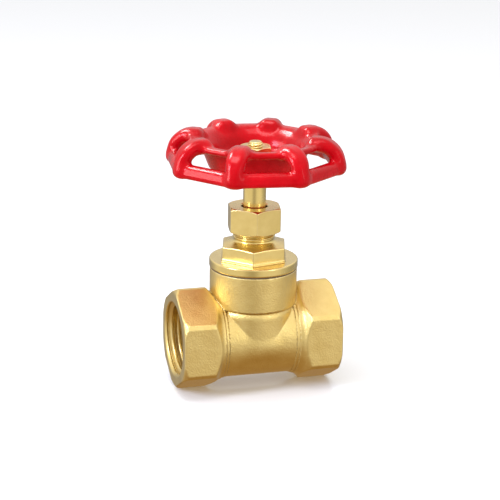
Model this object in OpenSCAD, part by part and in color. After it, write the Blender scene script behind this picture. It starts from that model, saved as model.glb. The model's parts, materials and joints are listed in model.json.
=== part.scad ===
// Gate valve with a non-rising stem, a screwed bonnet and two female threaded hex ends.
// Origin: centre of the inlet end face. +X runs along the pipe to the outlet, +Z up the stem.
// The wedge is drawn raised, with the waterway open.

/* [Pipe ends] */
// Length between the two end faces
face_to_face = 45.2; // [44.8:0.1:48]
// Size across the flats of the hexagons at the two ends
end_hex_af = 25.5; // [25:0.1:27]
// Radius of the rounded crests of the end hexagons
end_crest_r = 14.4; // [14.2:0.05:14.6]
// Distance from an end face to where the hexagon starts to taper
end_hex_len = 9; // [8:0.1:9.4]
// Chamfer at the outer edge of each hexagon
end_chamfer = 1.1; // [0.5:0.1:1.5]
// Crest radius of the female pipe thread
pipe_thread_r = 9.32; // [9.1:0.01:9.6]
// Depth of the pipe thread from the end face
pipe_thread_depth = 11.2; // [10:0.1:12]
// Mouth radius of the thread's lead-in
pipe_mouth_r = 10.6; // [10:0.1:11]
// Depth of the lead-in
pipe_mouth_depth = 0.45; // [0.3:0.05:0.5]

/* [Barrel and collar] */
// Outer radius of the barrel between the hexagons
barrel_r = 11.5; // [11.2:0.1:11.8]
// Outer radius of the step beside each hexagon
step_r = 12; // [11.9:0.05:12.1]
// Length of each of the two steps
step_len = 0.9; // [0.6:0.1:1.2]
// Outer radius of the round collar that takes the bonnet
collar_r = 12.08; // [12:0.02:12.2]
// Height of the collar's lower edge above the pipe axis
collar_low_z = 9.7; // [9:0.1:10.5]
// Height of the collar's top face
collar_top_z = 19.6; // [19:0.1:20]
// Half width of the wedge pocket's foot on the front of the barrel
pocket_foot_half = 3; // [2:0.1:4]
// Height of the pocket's foot
pocket_foot_z = 0.5; // [-1:0.1:1]

/* [Waterway and wedge] */
// Radius of the port through the two seats
port_r = 5.7; // [5:0.1:6]
// Radius of the wedge's disc
disc_r = 7.8; // [7.4:0.1:7.9]
// Half thickness of the wedge at the centre of its disc
wedge_half = 4.2; // [4:0.1:4.5]
// Slope of each wedge face
wedge_angle = 5; // [4:0.5:6]
// Gap between each wedge face and its seat when closed
seat_gap = 0.1; // [0.05:0.05:0.3]
// Lift of the wedge from closed to open
wedge_lift = 13.5; // [12:0.1:13.5]
// Radius of the wedge's threaded boss
boss_r = 4.6; // [4.4:0.1:4.8]
// Height of the boss above the disc's centre
boss_top = 9.6; // [9:0.1:9.7]
// Width of the guide ribs in the body
rib_w = 1.6; // [1.2:0.1:2]
// How far each rib stands into the pocket
rib_depth = 1.1; // [0.8:0.1:1.3]

/* [Bonnet] */
// Outer radius of the bonnet's thread
bonnet_thread_r = 9.95; // [9.8:0.05:10]
// Height of the bonnet's lower end
bonnet_low_z = 11.6; // [11.5:0.1:12]
// Thickness of the bonnet gasket
gasket_t = 0.3; // [0.3:0.1:0.5]
// Outer radius of the bonnet's flange
flange_r = 12.26; // [12.1:0.02:12.4]
// Height of the flange's top face
flange_top_z = 22.3; // [22:0.1:22.6]
// Chamfer round the flange's top edge
flange_chamfer = 0.4; // [0.2:0.1:0.6]
// Size across the flats of the bonnet's hexagon
bonnet_hex_af = 17; // [16.6:0.1:17.4]
// Height of the top of the bonnet's hexagon
bonnet_hex_top_z = 27.2; // [26.8:0.1:27.2]
// Angle of the bonnet's hexagon about the stem
bonnet_hex_turn = 13.3; // [0:0.1:60]
// Outer radius of the neck's thread
neck_r = 5.9; // [5.8:0.05:6]
// Height of the neck's top face
neck_top_z = 33.4; // [33:0.1:33.6]
// Radius of the bonnet's inner chamber
chamber_r = 8.9; // [8.8:0.05:9]

/* [Stem] */
// Radius of the stem's shank
stem_r = 3.14; // [3.1:0.01:3.18]
// Radius of the stem's thread, a left-hand one with a 2 mm lead
stem_thread_r = 3; // [2.9:0.05:3]
// Radius of the thrust collar on the stem
thrust_r = 4.4; // [4.2:0.05:4.4]
// Thickness of the thrust collar
thrust_t = 1.5; // [1.3:0.05:1.5]
// Height of the stem's lower end
stem_low_z = 5.9; // [5.9:0.1:6.4]
// Height of the shoulder under the handwheel
wheel_seat_z = 46.4; // [45.5:0.1:47]
// Height of the stem's upper end
stem_top_z = 55.1; // [54.8:0.1:55.4]
// Size across the flats of the stem's square
square_af = 4.5; // [4.2:0.1:4.8]
// Radius of the thread above the square
tip_r = 2.1; // [1.9:0.05:2.2]

/* [Packing and gland] */
// Radial running clearance round the stem
run_gap = 0.06; // [0.02:0.01:0.1]
// Outer radius of the packing rings
packing_r = 4.65; // [4.5:0.05:4.65]
// Height of the floor of the packing box
box_floor_z = 28.9; // [28.8:0.1:29.1]
// Thickness of the washer under the packing
packing_washer_t = 0.5; // [0.4:0.1:0.6]
// Height of one packing ring
packing_ring_t = 0.95; // [0.8:0.05:1]
// Height of the gland nut's lower face
gland_nut_low_z = 30.1; // [29.6:0.1:30.4]
// Height of the gland nut's top face
gland_nut_top_z = 37.1; // [36.8:0.1:37.4]
// Size across the flats of the gland nut
gland_nut_af = 13.8; // [13.6:0.1:14.2]
// Angle of the gland nut about the stem
gland_nut_turn = 20; // [0:0.1:60]

/* [Handwheel] */
// Radius of the handwheel at its eight corners
wheel_r = 24.93; // [24:0.1:26]
// Height of the handwheel's lower plane
wheel_low_z = 47.8; // [47.6:0.05:48.2]
// Height of the corner humps
wheel_top_z = 57.6; // [57.2:0.1:58]
// Height of the base bar of the rim
base_bar_h = 3.5; // [3:0.1:3.8]
// Radius of the eight posts of the rim
post_r = 2.4; // [2:0.1:2.6]
// Radius at which each post reaches its hump
hump_r = 17.8; // [17:0.1:18.4]
// Angle of the handwheel about the stem
wheel_turn = 15; // [0:0.1:45]
// Outer radius of the dish at its floor
dish_floor_r = 12.6; // [12:0.1:13]
// Outer radius of the dish under its brim
dish_top_r = 15.1; // [15:0.1:15.8]
// Outer radius of the brim that joins the humps
brim_r = 18.2; // [17.8:0.1:18.6]
// Height of the brim's top, between two humps
brim_top_z = 56; // [55.6:0.1:56.4]
// Wall of the dish
dish_wall = 1.5; // [1.2:0.1:1.8]
// Radius of the hub
hub_r = 5.6; // [5.2:0.1:6]
// Height of the hub's top face
hub_top_z = 51.6; // [51.4:0.1:51.8]

/* [Wheel nut] */
// Thickness of the washer under the wheel nut
wheel_washer_t = 0.5; // [0.4:0.1:0.6]
// Thickness of the wheel nut
wheel_nut_t = 1.7; // [1.5:0.1:1.9]
// Size across the flats of the wheel nut
wheel_nut_af = 8; // [7:0.1:8.4]
// Angle of the wheel nut about the stem
wheel_nut_turn = 21; // [0:0.1:60]

/* [Hidden] */
$fn = 96;

// Overshoot of a cutting shape past the face that it cuts
cut = 0.5;
// Distance from an end face to the stem's axis
run_mid = face_to_face / 2;
// Radius at the corners of a hexagon of the given size across flats
function hex_r(af) = af / sqrt(3);

// Taper behind each end hexagon, down to the step
end_taper_len = (end_crest_r - step_r) * 0.9;
step_start = end_hex_len + end_taper_len;
mid_step_r = (step_r + barrel_r) / 2;

// Bonnet joint
flange_low_z = collar_top_z + gasket_t;
bonnet_bore_r = bonnet_thread_r + 0.1;
bonnet_bore_floor_z = bonnet_low_z - 0.2;
gasket_r = collar_r - 0.08;

// Wedge pocket in the body
pocket_r = disc_r + 0.35;
wedge_slope = tan(wedge_angle);
seat_half = wedge_half + seat_gap;
wedge_trim_r = disc_r + 0.8;
rib_slack = 0.2;

// Stem column inside the bonnet, from the top down
guide_floor_z = box_floor_z - 1.6;
thrust_washer_t = 0.4;
thrust_slack = 0.05;
upper_washer_z = guide_floor_z - thrust_washer_t;
thrust_top_z = upper_washer_z - thrust_slack;
thrust_low_z = thrust_top_z - thrust_t;
lower_washer_z = thrust_low_z - thrust_slack - thrust_washer_t;
thrust_bore_r = thrust_r + 0.2;
thrust_washer_r = thrust_r + 0.1;
retainer_t = 1.5;
retainer_low_z = lower_washer_z - retainer_t;
retainer_bore_r = thrust_bore_r + 0.6;
retainer_r = retainer_bore_r - 0.05;
retainer_slot = 0.9;
guide_r = stem_r + run_gap;
chamber_shoulder_z = 17.6;
chamber_taper_z = 22.4;

// Packing box
box_r = packing_r + 0.05;
packing_low_z = box_floor_z + packing_washer_t;
gland_low_z = packing_low_z + 3 * packing_ring_t;
gland_head_z = neck_top_z + 0.3;
gland_top_z = 35;
gland_head_r = neck_r - 0.3;
gland_nut_bore_r = neck_r + 0.1;
gland_nut_hole_r = stem_r + 0.46;
groove_r = neck_r - 0.5;
groove_low_z = bonnet_hex_top_z + 0.3;
groove_top_z = groove_low_z + 0.5;
flare_r = neck_r + 1.4;

// Handwheel
hub_low_z = wheel_seat_z;
base_bar_top_z = wheel_low_z + base_bar_h;
post_low_r = wheel_r - post_r;
post_low_z = wheel_low_z + post_r;
post_top_z = wheel_top_z - post_r;
post_lean = atan((post_low_r - hump_r) / (post_top_z - post_low_z));
post_len = norm([post_low_r - hump_r, post_top_z - post_low_z]);
base_corner_r = wheel_r / cos(22.5) - 1.4;
base_inner_r = base_corner_r - 3.4;
base_lean = 1.4;
brim_low_z = brim_top_z - 1.7;
brim_edge = 0.6;
brim_mouth_r = brim_r - 3;
dish_low_z = wheel_low_z + 0.2;
dish_floor_t = 1.8;
hub_square = square_af + 0.1;

wheel_washer_r = 4.4;
wheel_nut_low_z = hub_top_z + wheel_washer_t;
nut_chamfer = 0.4;

// Moves its children to the stem's axis
module on_stem() {
    translate([run_mid, 0, 0]) children();
}

// Revolves an outline of [radius, distance] points about the pipe axis
module about_pipe() {
    rotate([0, 90, 0]) rotate_extrude() children();
}

// Extrudes an outline of [x, z] points across the valve, symmetrically
module across(width) {
    rotate([90, 0, 0]) linear_extrude(height = width, center = true) children();
}

// Ring about the stem's axis
module ring(outer_r, inner_r, low_z, height) {
    on_stem() translate([0, 0, low_z]) difference() {
        cylinder(r = outer_r, h = height);
        translate([0, 0, -cut]) cylinder(r = inner_r, h = height + 2 * cut);
    }
}

// Nut blank about the stem's axis, with its corners turned off at both faces
module nut_blank(af, low_z, top_z, chamfer) {
    corner = hex_r(af);
    face = corner - 2 * chamfer;
    intersection() {
        translate([0, 0, low_z]) cylinder(r = corner, h = top_z - low_z, $fn = 6);
        rotate_extrude() polygon([
            [0, low_z], [face, low_z], [corner + 0.01, low_z + chamfer],
            [corner + 0.01, top_z - chamfer], [face, top_z], [0, top_z]
        ]);
    }
}

// Hexagon, taper and steps of one pipe end, with its end face at x = 0
module pipe_end() {
    intersection() {
        rotate([0, 90, 0]) cylinder(r = hex_r(end_hex_af), h = step_start + 2 * step_len, $fn = 6);
        about_pipe() polygon([
            [0, 0], [end_crest_r - end_chamfer, 0], [end_crest_r, end_chamfer],
            [end_crest_r, end_hex_len], [step_r, step_start], [step_r, step_start + step_len],
            [mid_step_r, step_start + step_len], [mid_step_r, step_start + 2 * step_len],
            [0, step_start + 2 * step_len]
        ]);
    }
}

// Outside of the wedge pocket, narrowing from the collar down the front and back of the barrel
module pocket_outside() {
    intersection() {
        across(2 * collar_r) polygon([
            [-collar_r + 0.1, collar_low_z + cut], [-pocket_foot_half, pocket_foot_z],
            [pocket_foot_half, pocket_foot_z], [collar_r - 0.1, collar_low_z + cut]
        ]);
        translate([0, 0, pocket_foot_z - cut]) cylinder(r = collar_r - 0.13, h = collar_low_z + 3);
    }
}

// Half width of a wedge-shaped space at height z above the disc's centre
function wedge_x(half, z) = half + z * wedge_slope;

// Wedge-shaped slab between two heights
module wedge_slab(half, low_z, top_z) {
    across(4 * disc_r) polygon([
        [-wedge_x(half, top_z), top_z], [-wedge_x(half, low_z), low_z],
        [wedge_x(half, low_z), low_z], [wedge_x(half, top_z), top_z]
    ]);
}

// Space in the body that the wedge slides in
module wedge_pocket() {
    difference() {
        intersection() {
            wedge_slab(seat_half, -pocket_r - cut, bonnet_bore_floor_z + cut);
            union() {
                rotate([0, 90, 0]) cylinder(r = pocket_r, h = 4 * wedge_half, center = true);
                translate([-2 * wedge_half, -pocket_r, 0])
                    cube([4 * wedge_half, 2 * pocket_r, bonnet_bore_floor_z + cut]);
            }
        }
        for (side = [-1, 1]) translate([0, side * pocket_r, bonnet_bore_floor_z / 2 - 2])
            cube([rib_w, 2 * rib_depth, bonnet_bore_floor_z - 4], center = true);
    }
}

// Female pipe thread at its crest radius, with its lead-in, entered at x = 0
module pipe_thread_hole() {
    about_pipe() polygon([
        [0, -cut], [pipe_mouth_r + 1, -cut], [pipe_mouth_r, 0],
        [pipe_thread_r, pipe_mouth_depth], [pipe_thread_r, pipe_thread_depth],
        [port_r - 1, pipe_thread_depth + 2], [0, pipe_thread_depth + 2]
    ]);
}

module body() {
    color("goldenrod") difference() {
        union() {
            pipe_end();
            translate([face_to_face, 0, 0]) mirror([1, 0, 0]) pipe_end();
            translate([step_start, 0, 0]) rotate([0, 90, 0])
                cylinder(r = barrel_r, h = face_to_face - 2 * step_start);
            on_stem() translate([0, 0, collar_low_z]) cylinder(r = collar_r, h = collar_top_z - collar_low_z);
            on_stem() pocket_outside();
        }
        pipe_thread_hole();
        translate([face_to_face, 0, 0]) mirror([1, 0, 0]) pipe_thread_hole();
        rotate([0, 90, 0]) cylinder(r = port_r, h = face_to_face);
        on_stem() wedge_pocket();
        on_stem() translate([0, 0, bonnet_bore_floor_z])
            cylinder(r = bonnet_bore_r, h = collar_top_z - bonnet_bore_floor_z + cut);
    }
}

// Outline of the bonnet's turned parts, from the thread up to the neck
module bonnet_outline() {
    polygon([
        [0, bonnet_low_z], [bonnet_thread_r - 0.6, bonnet_low_z], [bonnet_thread_r, bonnet_low_z + 0.6],
        [bonnet_thread_r, flange_low_z], [flange_r, flange_low_z],
        [flange_r, flange_top_z - flange_chamfer], [flange_r - flange_chamfer, flange_top_z],
        [flare_r, flange_top_z], [flare_r, bonnet_hex_top_z], [groove_r, groove_low_z],
        [groove_r, groove_top_z], [neck_r, groove_top_z + 0.4],
        [neck_r, neck_top_z - 0.4], [neck_r - 0.4, neck_top_z], [0, neck_top_z]
    ]);
}

// Outline of the bonnet's bores, from the wedge chamber up to the packing box
module bonnet_bores() {
    polygon([
        [0, bonnet_low_z - cut], [chamber_r, bonnet_low_z - cut], [chamber_r, chamber_shoulder_z],
        [retainer_bore_r, chamber_taper_z], [retainer_bore_r, lower_washer_z],
        [thrust_bore_r, lower_washer_z], [thrust_bore_r, guide_floor_z],
        [guide_r, guide_floor_z], [guide_r, box_floor_z],
        [box_r, box_floor_z], [box_r, neck_top_z + cut], [0, neck_top_z + cut]
    ]);
}

module bonnet() {
    hex_corner = hex_r(bonnet_hex_af);
    color("darkgoldenrod") on_stem() difference() {
        union() {
            rotate_extrude() bonnet_outline();
            rotate([0, 0, bonnet_hex_turn]) intersection() {
                translate([0, 0, flange_top_z - cut])
                    cylinder(r = hex_corner, h = bonnet_hex_top_z - flange_top_z + cut, $fn = 6);
                rotate_extrude() polygon([
                    [0, flange_top_z - cut], [hex_corner + 0.01, flange_top_z - cut],
                    [hex_corner + 0.01, bonnet_hex_top_z - 0.7], [hex_corner - 1.5, bonnet_hex_top_z],
                    [0, bonnet_hex_top_z]
                ]);
            }
        }
        rotate_extrude() bonnet_bores();
    }
}

module bonnet_gasket() {
    color("dimgray") ring(gasket_r, bonnet_bore_r, collar_top_z, gasket_t);
}

// The wedge, raised by its full lift
module wedge() {
    color("peru") on_stem() translate([0, 0, wedge_lift]) difference() {
        union() {
            intersection() {
                wedge_slab(wedge_half, -disc_r - cut, disc_r + cut);
                rotate([0, 90, 0]) cylinder(r = disc_r, h = 4 * wedge_half, center = true);
                cylinder(r = wedge_trim_r, h = 4 * disc_r, center = true);
            }
            cylinder(r = boss_r, h = boss_top);
        }
        cylinder(r = stem_thread_r + 0.1, h = 4 * disc_r, center = true);
        for (side = [-1, 1]) translate([0, side * pocket_r, 0])
            cube([rib_w + 2 * rib_slack, 2 * (rib_depth + rib_slack), 4 * disc_r], center = true);
    }
}

module stem() {
    color("gold") on_stem() {
        rotate_extrude() polygon([
            [0, stem_low_z], [stem_thread_r - 0.6, stem_low_z], [stem_thread_r, stem_low_z + 0.6],
            [stem_thread_r, retainer_low_z - 0.3], [stem_r - 0.04, retainer_low_z - 0.3],
            [stem_r - 0.04, thrust_low_z], [thrust_r, thrust_low_z], [thrust_r, thrust_top_z],
            [stem_r, thrust_top_z], [stem_r, wheel_seat_z], [0, wheel_seat_z]
        ]);
        rotate([0, 0, wheel_turn]) intersection() {
            translate([-square_af / 2, -square_af / 2, wheel_seat_z - cut])
                cube([square_af, square_af, hub_top_z - 0.3 - wheel_seat_z + cut]);
            cylinder(r = stem_r - 0.05, h = stem_top_z);
        }
        rotate_extrude() polygon([
            [0, hub_top_z - 1], [tip_r, hub_top_z - 1], [tip_r, stem_top_z - 0.4],
            [tip_r - 0.4, stem_top_z], [0, stem_top_z]
        ]);
    }
}

// Threaded ring with two spanner slots, under the stem's thrust collar
module stem_retainer() {
    color("khaki") difference() {
        ring(retainer_r, guide_r, retainer_low_z, retainer_t);
        on_stem() translate([0, 0, retainer_low_z])
            cube([retainer_slot, 4 * retainer_r, retainer_slot], center = true);
    }
}

module lower_thrust_washer() {
    color("white") ring(thrust_washer_r, guide_r, lower_washer_z, thrust_washer_t);
}

module upper_thrust_washer() {
    color("white") ring(thrust_washer_r, guide_r, upper_washer_z, thrust_washer_t);
}

module packing_washer() {
    color("khaki") ring(packing_r, guide_r, box_floor_z, packing_washer_t);
}

// One packing ring, counted upwards from 0
module packing_ring(index) {
    color("darkslategray") ring(packing_r, guide_r, packing_low_z + index * packing_ring_t, packing_ring_t);
}

module gland() {
    color("khaki") union() {
        ring(packing_r, guide_r, gland_low_z, gland_head_z - gland_low_z);
        ring(gland_head_r, guide_r, gland_head_z, gland_top_z - gland_head_z);
    }
}

module gland_nut() {
    color("darkgoldenrod") on_stem() rotate([0, 0, gland_nut_turn]) difference() {
        nut_blank(gland_nut_af, gland_nut_low_z, gland_nut_top_z, nut_chamfer);
        translate([0, 0, gland_nut_low_z - cut])
            cylinder(r = gland_nut_bore_r, h = gland_top_z - gland_nut_low_z + cut);
        translate([0, 0, gland_nut_low_z]) cylinder(r = gland_nut_hole_r, h = gland_nut_top_z);
    }
}

// Dish of the handwheel, with its brim, floor and hub
module wheel_dish() {
    rotate_extrude() polygon([
        [0, hub_low_z], [hub_r, hub_low_z], [hub_r, dish_low_z], [dish_floor_r, dish_low_z],
        [dish_top_r, brim_low_z], [brim_r, brim_low_z], [brim_r - brim_edge, brim_top_z],
        [brim_mouth_r, brim_top_z], [dish_top_r - dish_wall, brim_low_z],
        [dish_floor_r - dish_wall, dish_low_z + dish_floor_t],
        [hub_r, dish_low_z + dish_floor_t], [hub_r, hub_top_z], [0, hub_top_z]
    ]);
}

// Eight-sided base bar of the rim, its corners turned to the wheel's radius
module wheel_base_bar() {
    translate([0, 0, wheel_low_z]) difference() {
        intersection() {
            cylinder(r1 = base_corner_r, r2 = base_corner_r - base_lean, h = base_bar_h, $fn = 8);
            cylinder(r = wheel_r, h = base_bar_h);
        }
        translate([0, 0, -cut]) cylinder(r = base_inner_r, h = base_bar_h + 2 * cut, $fn = 8);
    }
}

// One leaning post with rounded ends, from the base bar's corner up to its hump
module wheel_post() {
    translate([post_low_r, 0, post_low_z]) rotate([0, -post_lean, 0]) rotate_extrude()
        intersection() {
            union() {
                translate([0, post_r]) circle(r = post_r);
                circle(r = post_r);
                translate([0, post_len]) circle(r = post_r);
                square([post_r, post_len]);
            }
            translate([0, -post_r]) square([post_r, post_len + 2 * post_r]);
        }
}

module handwheel() {
    color("crimson") on_stem() rotate([0, 0, wheel_turn]) difference() {
        union() {
            wheel_dish();
            wheel_base_bar();
            for (corner = [0 : 7]) rotate([0, 0, corner * 45]) wheel_post();
        }
        translate([-hub_square / 2, -hub_square / 2, hub_low_z - cut])
            cube([hub_square, hub_square, hub_top_z - hub_low_z + 2 * cut]);
    }
}

module wheel_washer() {
    color("silver") ring(wheel_washer_r, tip_r + 0.05, hub_top_z, wheel_washer_t);
}

module wheel_nut() {
    color("gold") on_stem() rotate([0, 0, wheel_nut_turn]) difference() {
        nut_blank(wheel_nut_af, wheel_nut_low_z, wheel_nut_low_z + wheel_nut_t, nut_chamfer / 2);
        translate([0, 0, wheel_nut_low_z - cut]) cylinder(r = tip_r + 0.05, h = wheel_nut_t + 2 * cut);
    }
}

body();
bonnet();
bonnet_gasket();
wedge();
stem();
stem_retainer();
lower_thrust_washer();
upper_thrust_washer();
packing_washer();
packing_ring(0);  // packing_ring_lower
packing_ring(1);  // packing_ring_middle
packing_ring(2);  // packing_ring_upper
gland();
gland_nut();
handwheel();
wheel_washer();
wheel_nut();
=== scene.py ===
from math import asin, cos, pi, radians, sin, sqrt, tan

import bpy
import numpy as np
from mathutils import Matrix, Vector
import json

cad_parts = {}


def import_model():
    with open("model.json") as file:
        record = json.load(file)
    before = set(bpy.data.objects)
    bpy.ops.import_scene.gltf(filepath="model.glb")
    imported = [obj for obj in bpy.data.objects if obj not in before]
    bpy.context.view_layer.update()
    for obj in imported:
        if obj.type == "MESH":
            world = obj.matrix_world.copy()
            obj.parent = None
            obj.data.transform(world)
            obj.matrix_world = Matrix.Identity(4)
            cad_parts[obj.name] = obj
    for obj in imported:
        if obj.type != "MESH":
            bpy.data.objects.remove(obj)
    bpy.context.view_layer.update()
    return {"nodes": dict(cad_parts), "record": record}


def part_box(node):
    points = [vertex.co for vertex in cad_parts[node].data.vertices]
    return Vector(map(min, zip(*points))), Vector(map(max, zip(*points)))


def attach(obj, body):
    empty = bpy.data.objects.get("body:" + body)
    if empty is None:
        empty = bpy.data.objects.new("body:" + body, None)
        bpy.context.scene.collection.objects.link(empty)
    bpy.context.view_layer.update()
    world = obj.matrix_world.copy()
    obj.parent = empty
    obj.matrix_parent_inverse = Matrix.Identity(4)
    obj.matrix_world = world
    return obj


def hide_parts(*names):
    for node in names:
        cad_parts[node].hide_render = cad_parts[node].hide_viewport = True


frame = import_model()

# Lengths in the shape functions are millimetres from the point where the stem's axis crosses the pipe's.
MM = 0.001


def node_box(node):
    """Lowest and highest corner of a CAD node in millimetres, with x measured from the stem's axis."""
    low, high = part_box(node)
    return np.array(low) / MM - STEM_AXIS, np.array(high) / MM - STEM_AXIS


# ---------------------------------------------------------------- sizes worked out from the frame

STEM_AXIS = np.array([sum(corner[0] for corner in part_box("body")) / 2 / MM, 0.0, 0.0])
BOX = {node: node_box(node) for node in frame["nodes"]}


def low_z(node):
    """Height of a node's underside."""
    return float(BOX[node][0][2])


def top_z(node):
    """Height of a node's top."""
    return float(BOX[node][1][2])


def radius(node):
    """Half of a round node's width across the pipe."""
    return float(BOX[node][1][1] - BOX[node][0][1]) / 2


MOUNTS = {mount["name"]: mount for mount in frame["record"]["mounts"]}
THREAD_R = MOUNTS["inlet_thread"]["dims"]["r_mm"]
HALF_RUN = float(BOX["body"][1][0])
LEAD = 2 * pi * frame["record"]["behaviour"]["couplings"][0]["ratio"] / MM

# Body: radii, depths from the end faces, and half widths across flats
CREST_R = -low_z("body")
END_HEX = 12.75
END_HEX_LONG = 9
TAPER_RUN = 0.9
BARREL_START = 4
STEP_LONG = 0.9
BARREL_R = 11.5
STEP_R = 12.0
COLLAR_TOP = top_z("body")
COLLAR_LOW = 9.7
POCKET_FOOT = -3.1
COLLAR_R = 12.08
FORGED_R = 11.88
PORT_R = 5.7
DISC_R = 7.8
POCKET_R = DISC_R + 0.35
WEDGE_HALF = 4.2
WEDGE_ANGLE = radians(5)
WEDGE_SLOPE = tan(WEDGE_ANGLE)
WEDGE_TRIM = 0.8
BOSS_R = 4.6
BOSS_TOP = 9.6
RIB_HALF = 0.8
RIB_DEPTH = 1.1
PIPE_PITCH = 1.814
PIPE_BORE_DEEP = 11.2
PIPE_THREAD_DEEP = 1.15
PIPE_MOUTH_R = 10.6

# Bonnet
BONNET_THREAD_R = 9.95
BONNET_PITCH = 1.5
FLANGE_R = radius("bonnet")
FLANGE_LOW = top_z("bonnet_gasket")
FLANGE_TOP = 22.3
BONNET_HEX = 8.5
BONNET_TURN = radians(13.3)
NECK_R = 5.9
NECK_PITCH = 1.0
NECK_TOP = top_z("bonnet")
GROOVE_R = 5.4
CHAMBER_R = 8.9
CHAMBER_TOP = 17.6
RETAINER_FLOOR = 22.3

# Stem column and nuts
STEM_R = 3.14
SHANK_LOW = 26
THRUST_LOW = 25.35
THRUST_TOP = 26.85
THRUST_R = radius("stem")
STEM_THREAD_R = 3.0
TIP_R = 2.1
TIP_PITCH = 0.7
SQUARE_HALF = 2.25
GUIDE_R = STEM_R + 0.06
BOX_FLOOR = low_z("packing_washer")
GUIDE_FLOOR = top_z("upper_thrust_washer")
RETAINER_R = radius("stem_retainer") + 0.05
GLAND_HEX = 6.9
GLAND_TURN = radians(20)
WHEEL_NUT_HEX = 4.0
WHEEL_NUT_TURN = radians(21)
WHEEL_TURN = radians(15)

# Handwheel: WHEEL_R is out to the corners and WHEEL_SIDE out to the middles of the sides
WHEEL_LOW = 47.8
WHEEL_TOP = top_z("handwheel")
HUB_LOW = low_z("handwheel")
HUB_TOP = low_z("wheel_washer")
HUB_R = 5.6
WHEEL_R = 24.93
WHEEL_SIDE = 23.4
BAR_HALF_WIDE = 1.6
BAR_HALF_HIGH = 1.875
BAR_DRAFT = 0.18
POST_R = 2.0
POST_FLAT_LOW = 0.15
POST_FLAT_GAIN = 0.65
HUMP_R = 17.8
HUMP_LEVEL = 1.4
BRIM_R = 18.2
BRIM_TOP = 56.0
BRIM_MOUTH_R = 15.6
BRIM_HALF_WIDE = 2.3
BRIM_HALF_HIGH = 0.85
DISH_LOW = WHEEL_LOW + 0.2
DISH_FLOOR = DISH_LOW + 1.8
DISH_OUT_R = 12.6
DISH_IN_R = 11.1
SIDE_ANGLE = pi / 8


# ---------------------------------------------------------------- distance fields

# A field is negative inside a solid. Where its surface slants, a factor such as 0.75 brings it back
# to about a millimetre for each millimetre of distance.

def larger(a, b, blend):
    """Maximum of two fields, rounded over the width given by blend."""
    near = np.maximum(blend - np.abs(a - b), 0) / blend
    return np.maximum(a, b) + near * near * blend / 4


def smaller(a, b, blend):
    """Minimum of two fields, filleted over the width given by blend."""
    return -larger(-a, -b, blend)


def ramp(value, start, end):
    """Smooth step from 0 at start to 1 at end."""
    t = np.clip((value - start) / (end - start), 0, 1)
    return t * t * (3 - 2 * t)


def between(value, low, high):
    """Slab between two planes."""
    return np.abs(value - (low + high) / 2) - (high - low) / 2


def turned_by(x, y, angle):
    """Coordinates in a frame turned about the stem's axis."""
    return x * cos(angle) + y * sin(angle), y * cos(angle) - x * sin(angle)


def hexagon(u, v, apothem, blend):
    """Hexagon with two flats facing +u and -u."""
    u, v = np.abs(u), np.abs(v)
    return larger(u, u / 2 + v * sqrt(3) / 2, blend) - apothem


def thread_crest(angle, along, pitch):
    """0 at the roots and 1 at the crests of a rounded V thread."""
    sharp = 0.93
    turns = along / pitch - angle / (2 * pi)
    return 0.5 + np.arcsin(sharp * np.cos(2 * pi * turns)) / (2 * asin(sharp))


def hex_nut(x, y, z, apothem, low, high, turn):
    """Hexagon nut blank with its corners turned off at both faces."""
    corner = apothem * 2 / sqrt(3)
    r = np.hypot(x, y)
    u, v = turned_by(x, y, turn)
    flats = hexagon(v, u, apothem, 0.2)
    middle = (low + high) / 2
    slant = radians(30)
    from_face = np.abs(z - middle) - (high - low) / 2
    cone = (from_face + (r - 0.895 * corner) * tan(slant)) * cos(slant)
    return larger(larger(flats, between(z, low, high), 0.1), cone, 0.15)


# ---------------------------------------------------------------- meshes from fields

BLOCK = 6


def grid_axis(low, high, cell):
    """Grid positions from below low to above high, a whole number of blocks of them."""
    count = int(np.ceil(((high - low) / cell + 3) / BLOCK)) * BLOCK
    return (low + high) / 2 + cell * (np.arange(count) - (count - 1) / 2)


def sample(field, axes, cell):
    """Values of a field over a grid, worked out in full only in the blocks near its surface."""
    parts = [axis.reshape(-1, BLOCK) for axis in axes]
    coarse = field(*np.meshgrid(*[part.mean(1) for part in parts], indexing="ij"))
    values = coarse.astype(np.float32)
    for direction in range(3):
        values = np.repeat(values, BLOCK, direction)
    reach = 1.35 * sqrt(3) / 2 * BLOCK * cell
    i, j, k = np.nonzero(np.abs(coarse) < reach)
    x = parts[0][i][:, :, None, None]
    y = parts[1][j][:, None, :, None]
    z = parts[2][k][:, None, None, :]
    blocks = values.reshape(len(parts[0]), BLOCK, len(parts[1]), BLOCK, len(parts[2]), BLOCK)
    blocks[i, :, j, :, k, :] = field(*[np.array(a) for a in np.broadcast_arrays(x, y, z)])
    return values


def gradient(field, points, step):
    """Central differences of a field at some points."""
    slopes = []
    for direction in range(3):
        offset = np.zeros(3)
        offset[direction] = step
        slopes.append(field(*(points + offset).T) - field(*(points - offset).T))
    return np.stack(slopes, 1) / (2 * step)


def curving(field, points, reach):
    """How sharply a surface bends, per millimetre: above 0 on outside edges and below 0 in corners."""
    total = -6 * field(*points.T)
    for direction in range(3):
        offset = np.zeros(3)
        offset[direction] = reach
        total += field(*(points + offset).T) + field(*(points - offset).T)
    return total / reach ** 2


def settle(field, points, cell, rounds=3):
    """Moves points onto a field's surface."""
    for _ in range(rounds):
        slope = gradient(field, points, 0.08 * cell)
        steepness = np.maximum((slope ** 2).sum(1), 0.05)
        move = np.clip(field(*points.T) / steepness, -0.5 * cell, 0.5 * cell)
        points = points - move[:, None] * slope
    return points


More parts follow.
